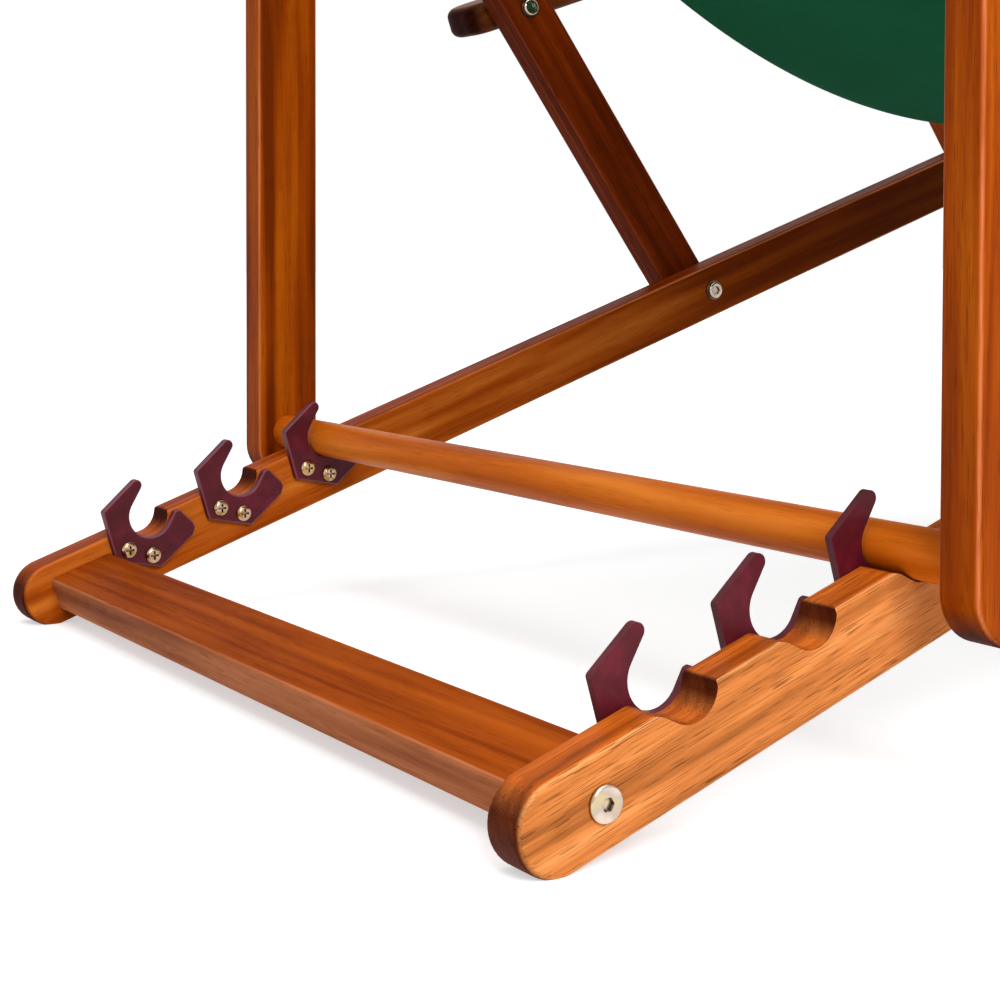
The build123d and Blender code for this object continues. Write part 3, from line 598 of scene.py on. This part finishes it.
def canvas_sheet():
    """The sling's cloth: the flat cut as a grid, each row laid on the path."""
    mesh = bmesh.new()
    rows = len(sling_path) - 1
    bmesh.ops.create_grid(mesh, x_segments=ACROSS_COUNT, y_segments=rows, size=0.5)
    flat_cut = mesh.loops.layers.uv.new("flat_cut")
    spots = {}
    for vertex in mesh.verts:
        row = round((vertex.co.y + 0.5) * rows)
        spots[vertex] = (vertex.co.x * CANVAS_WIDTH, path_lengths[row])
    for face in mesh.faces:
        for loop in face.loops:
            loop[flat_cut].uv = spots[loop.vert]
        face.smooth = True
    for vertex, (across, distance) in spots.items():
        vertex.co = laid(across, distance)
    bmesh.ops.recalc_face_normals(mesh, faces=mesh.faces)
    piece = link("canvas_sling", mesh, canvas_cloth())
    body = piece.modifiers.new("cloth", "SOLIDIFY")
    body.thickness = CLOTH
    body.offset = 0.0
    return piece


# Sewing: two rows at each hem, seen from above and from below
STITCH = 3.2 * MM
STITCH_GAP = 0.7 * MM
THREAD = 0.6 * MM
FIRST_ROW = 5 * MM
LAST_ROW = HEM_DEPTH - 3 * MM
POCKET_EASE = 2 * MM


def stitch_rows(name, distance, lift):
    """A row of stitches across the canvas at a distance along the flat cut."""
    mesh = bmesh.new()
    count = int((CANVAS_WIDTH - 2 * STITCH) / (STITCH + STITCH_GAP))
    for place in range(count):
        middle = (place + 0.5 - count / 2) * (STITCH + STITCH_GAP)
        made = bmesh.ops.create_uvsphere(mesh, u_segments=6, v_segments=4, radius=0.5)["verts"]
        for vertex in made:
            across = middle + vertex.co.z * STITCH
            vertex.co = laid(across, distance + vertex.co.x * THREAD, lift + vertex.co.y * THREAD)
    bmesh.ops.recalc_face_normals(mesh, faces=mesh.faces)
    for face in mesh.faces:
        face.smooth = True
    return link(name, mesh, thread)


def bend_with_fold(piece):
    """Bakes the piece's placement into its mesh; it doesn't bend with the fold."""
    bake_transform(piece)


thread = spun_thread()
canvas = canvas_sheet()
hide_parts("canvas")
bend_with_fold(canvas)
pocket_reach = wrap * cos(POCKET_TURN) + pocket * sin(POCKET_TURN) + POCKET_EASE
for end in ("head", "front"):
    for row, inset in enumerate((FIRST_ROW, LAST_ROW), start=1):
        along = pocket_reach + inset
        distance = sling_start + along if end == "head" else sling_start + sling_length - along
        for face, lift in (("upper", CLOTH / 2), ("lower", -CLOTH / 2 - 2 * LAYER)):
            seam = stitch_rows(f"{end}_hem_stitches_{row}_{face}", distance, lift)
            bend_with_fold(seam)

# Camera: a 67 mm lens on a 36 mm wide picture, low behind the chair's right side. The angles are in radians,
# and focal length and axis in pixels of the square picture.
PICTURE = 1000
SENSOR_WIDTH = 36.0
FOCAL_PIXELS = 1867.4
AXIS_PIXEL = (504.387, 300.0)
CAMERA_PLACE = (-833.195 * MM, 904.301 * MM, 231.781 * MM)
CAMERA_HEADING = -0.994824
CAMERA_PITCH = -0.030718
CAMERA_ROLL = 0.00247
NEAREST = 10 * MM
FARTHEST = 100.0


def studio_camera():
    """The camera at the photograph's place, with its off-centre axis as a shift."""
    ahead = Vector((-sin(CAMERA_HEADING) * cos(CAMERA_PITCH), -cos(CAMERA_HEADING) * cos(CAMERA_PITCH),
                    sin(CAMERA_PITCH)))
    level_right = Vector((-cos(CAMERA_HEADING), sin(CAMERA_HEADING), 0.0))
    level_up = level_right.cross(ahead)
    right = level_right * cos(CAMERA_ROLL) + level_up * sin(CAMERA_ROLL)
    upward = level_up * cos(CAMERA_ROLL) - level_right * sin(CAMERA_ROLL)
    data = bpy.data.cameras.new("camera")
    data.sensor_width = SENSOR_WIDTH
    data.lens = SENSOR_WIDTH * FOCAL_PIXELS / PICTURE
    data.shift_x = 0.5 - AXIS_PIXEL[0] / PICTURE
    data.shift_y = AXIS_PIXEL[1] / PICTURE - 0.5
    data.clip_start = NEAREST
    data.clip_end = FARTHEST
    camera = bpy.data.objects.new("camera", data)
    camera.matrix_world = Matrix((right, upward, -ahead)).transposed().to_4x4()
    camera.location = CAMERA_PLACE
    bpy.context.scene.collection.objects.link(camera)
    bpy.context.scene.camera = camera


# Studio: a pale floor that keeps the chair's shadow, and a white surround. The floor's lift towards white
# grows from FLOOR_NEAR to FLOOR_FAR.
AMBIENT = 0.5
FLOOR_LIFT = 0.53
FAR_LIFT = 0.95
FLOOR_NEAR = 1.1
FLOOR_FAR = 3.5
FLOOR_REACH = 12.0


def seen_directly(tree):
    """1 for rays from the camera, and for those that metal and glass send back."""
    path = add(tree, "ShaderNodeLightPath").outputs
    either = add(tree, "ShaderNodeMath", {
        0: path["Is Camera Ray"], 1: path["Is Glossy Ray"]}, operation="MAXIMUM").outputs[0]
    return add(tree, "ShaderNodeMath", {
        0: either, 1: path["Is Transmission Ray"]}, operation="MAXIMUM").outputs[0]


def studio_surround():
    """A world that is white to look at and lights the chair at a plain level."""
    world = bpy.data.worlds.new("studio")
    world.use_nodes = True
    tree = world.node_tree
    tree.nodes.clear()
    strength = add(tree, "ShaderNodeMapRange", {"Value": seen_directly(tree), "To Min": AMBIENT}).outputs[0]
    background = add(tree, "ShaderNodeBackground", {"Color": WHITE, "Strength": strength})
    add(tree, "ShaderNodeOutputWorld", {"Surface": background.outputs[0]})
    bpy.context.scene.world = world


def studio_floor():
    """A wide pale floor, lifted to white where nothing shades it, and more so away from the chair."""
    mesh = bmesh.new()
    bmesh.ops.create_grid(mesh, x_segments=1, y_segments=1, size=FLOOR_REACH)
    data = bpy.data.meshes.new("floor")
    mesh.to_mesh(data)
    mesh.free()
    material, tree = new_material("pale_floor")
    paint = add(tree, "ShaderNodeBsdfDiffuse", {"Color": colour("E6E6E8")})
    spot = add(tree, "ShaderNodeTexCoord").outputs["Object"]
    away = add(tree, "ShaderNodeVectorMath", {0: spot}, operation="LENGTH").outputs["Value"]
    amount = add(tree, "ShaderNodeMapRange", {
        "Value": away, "From Min": FLOOR_NEAR, "From Max": FLOOR_FAR, "To Min": FLOOR_LIFT,
        "To Max": FAR_LIFT}).outputs[0]
    lift = add(tree, "ShaderNodeMath", {0: seen_directly(tree), 1: amount}, operation="MULTIPLY").outputs[0]
    glow = add(tree, "ShaderNodeEmission", {"Color": WHITE, "Strength": lift})
    both = add(tree, "ShaderNodeAddShader", {0: paint.outputs[0], 1: glow.outputs[0]})
    add(tree, "ShaderNodeOutputMaterial", {"Surface": both.outputs[0]})
    data.materials.append(material)
    floor = bpy.data.objects.new("floor", data)
    bpy.context.scene.collection.objects.link(floor)


def softbox(name, place, target, size, power):
    """A square area lamp that faces a target."""
    data = bpy.data.lights.new(name, "AREA")
    data.size = size
    data.energy = power
    lamp = bpy.data.objects.new(name, data)
    lamp.location = place
    lamp.rotation_euler = (Vector(target) - Vector(place)).to_track_quat("-Z", "Y").to_euler()
    bpy.context.scene.collection.objects.link(lamp)


studio_camera()
studio_surround()
studio_floor()
softbox("key", place=(-1.6, 0.8, 1.1), target=(-0.1, 0.3, 0.15), size=0.8, power=24.0)
softbox("top", place=(-0.2, 0.2, 2.4), target=(0.0, 0.0, 0.3), size=2.2, power=32.0)

scene = bpy.context.scene
scene.view_settings.view_transform = "Standard"
